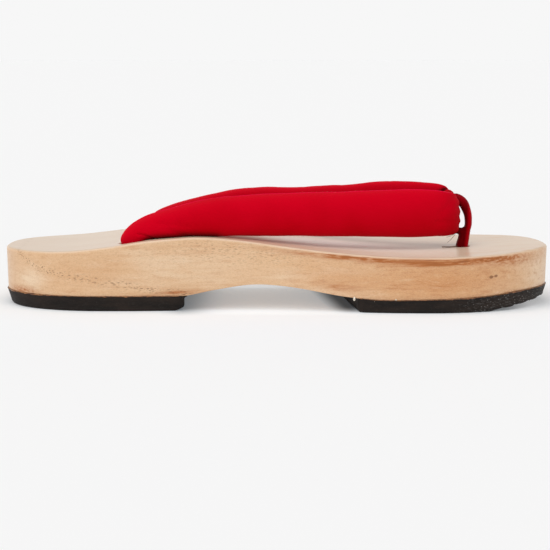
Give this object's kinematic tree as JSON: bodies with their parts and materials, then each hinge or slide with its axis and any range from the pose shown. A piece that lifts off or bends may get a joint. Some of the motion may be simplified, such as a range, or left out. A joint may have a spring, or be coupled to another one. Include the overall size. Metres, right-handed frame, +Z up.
{
  "type": "geta sandal",
  "caption": "Low flat wooden geta sandal with an arched one-piece base, dark rubber pads under heel and forefoot, and a padded cloth V strap held by a toe loop.",
  "frame": {"origin": "on the ground under the middle of the sole's length and width", "axes": "+X to the toe along the sole, +Y to the outer (lateral) side of the foot, +Z up"},
  "size_m": [0.255, 0.092, 0.056],
  "materials": {
    "wood": "light open-grained wood with a thin satin clear coat",
    "rubber": "matt black-brown sole rubber with pale scuffs",
    "strap_cloth": "smooth fine red cloth over padding, soft sheen",
    "loop_cloth": "the same red cloth, folded into a narrow band"
  },
  "bodies": {
    "root": {"wooden_base": "wood", "heel_pad": "rubber", "forefoot_pad": "rubber", "hanao_strap": "strap_cloth", "toe_loop": "loop_cloth"}
  },
  "joints": []
}
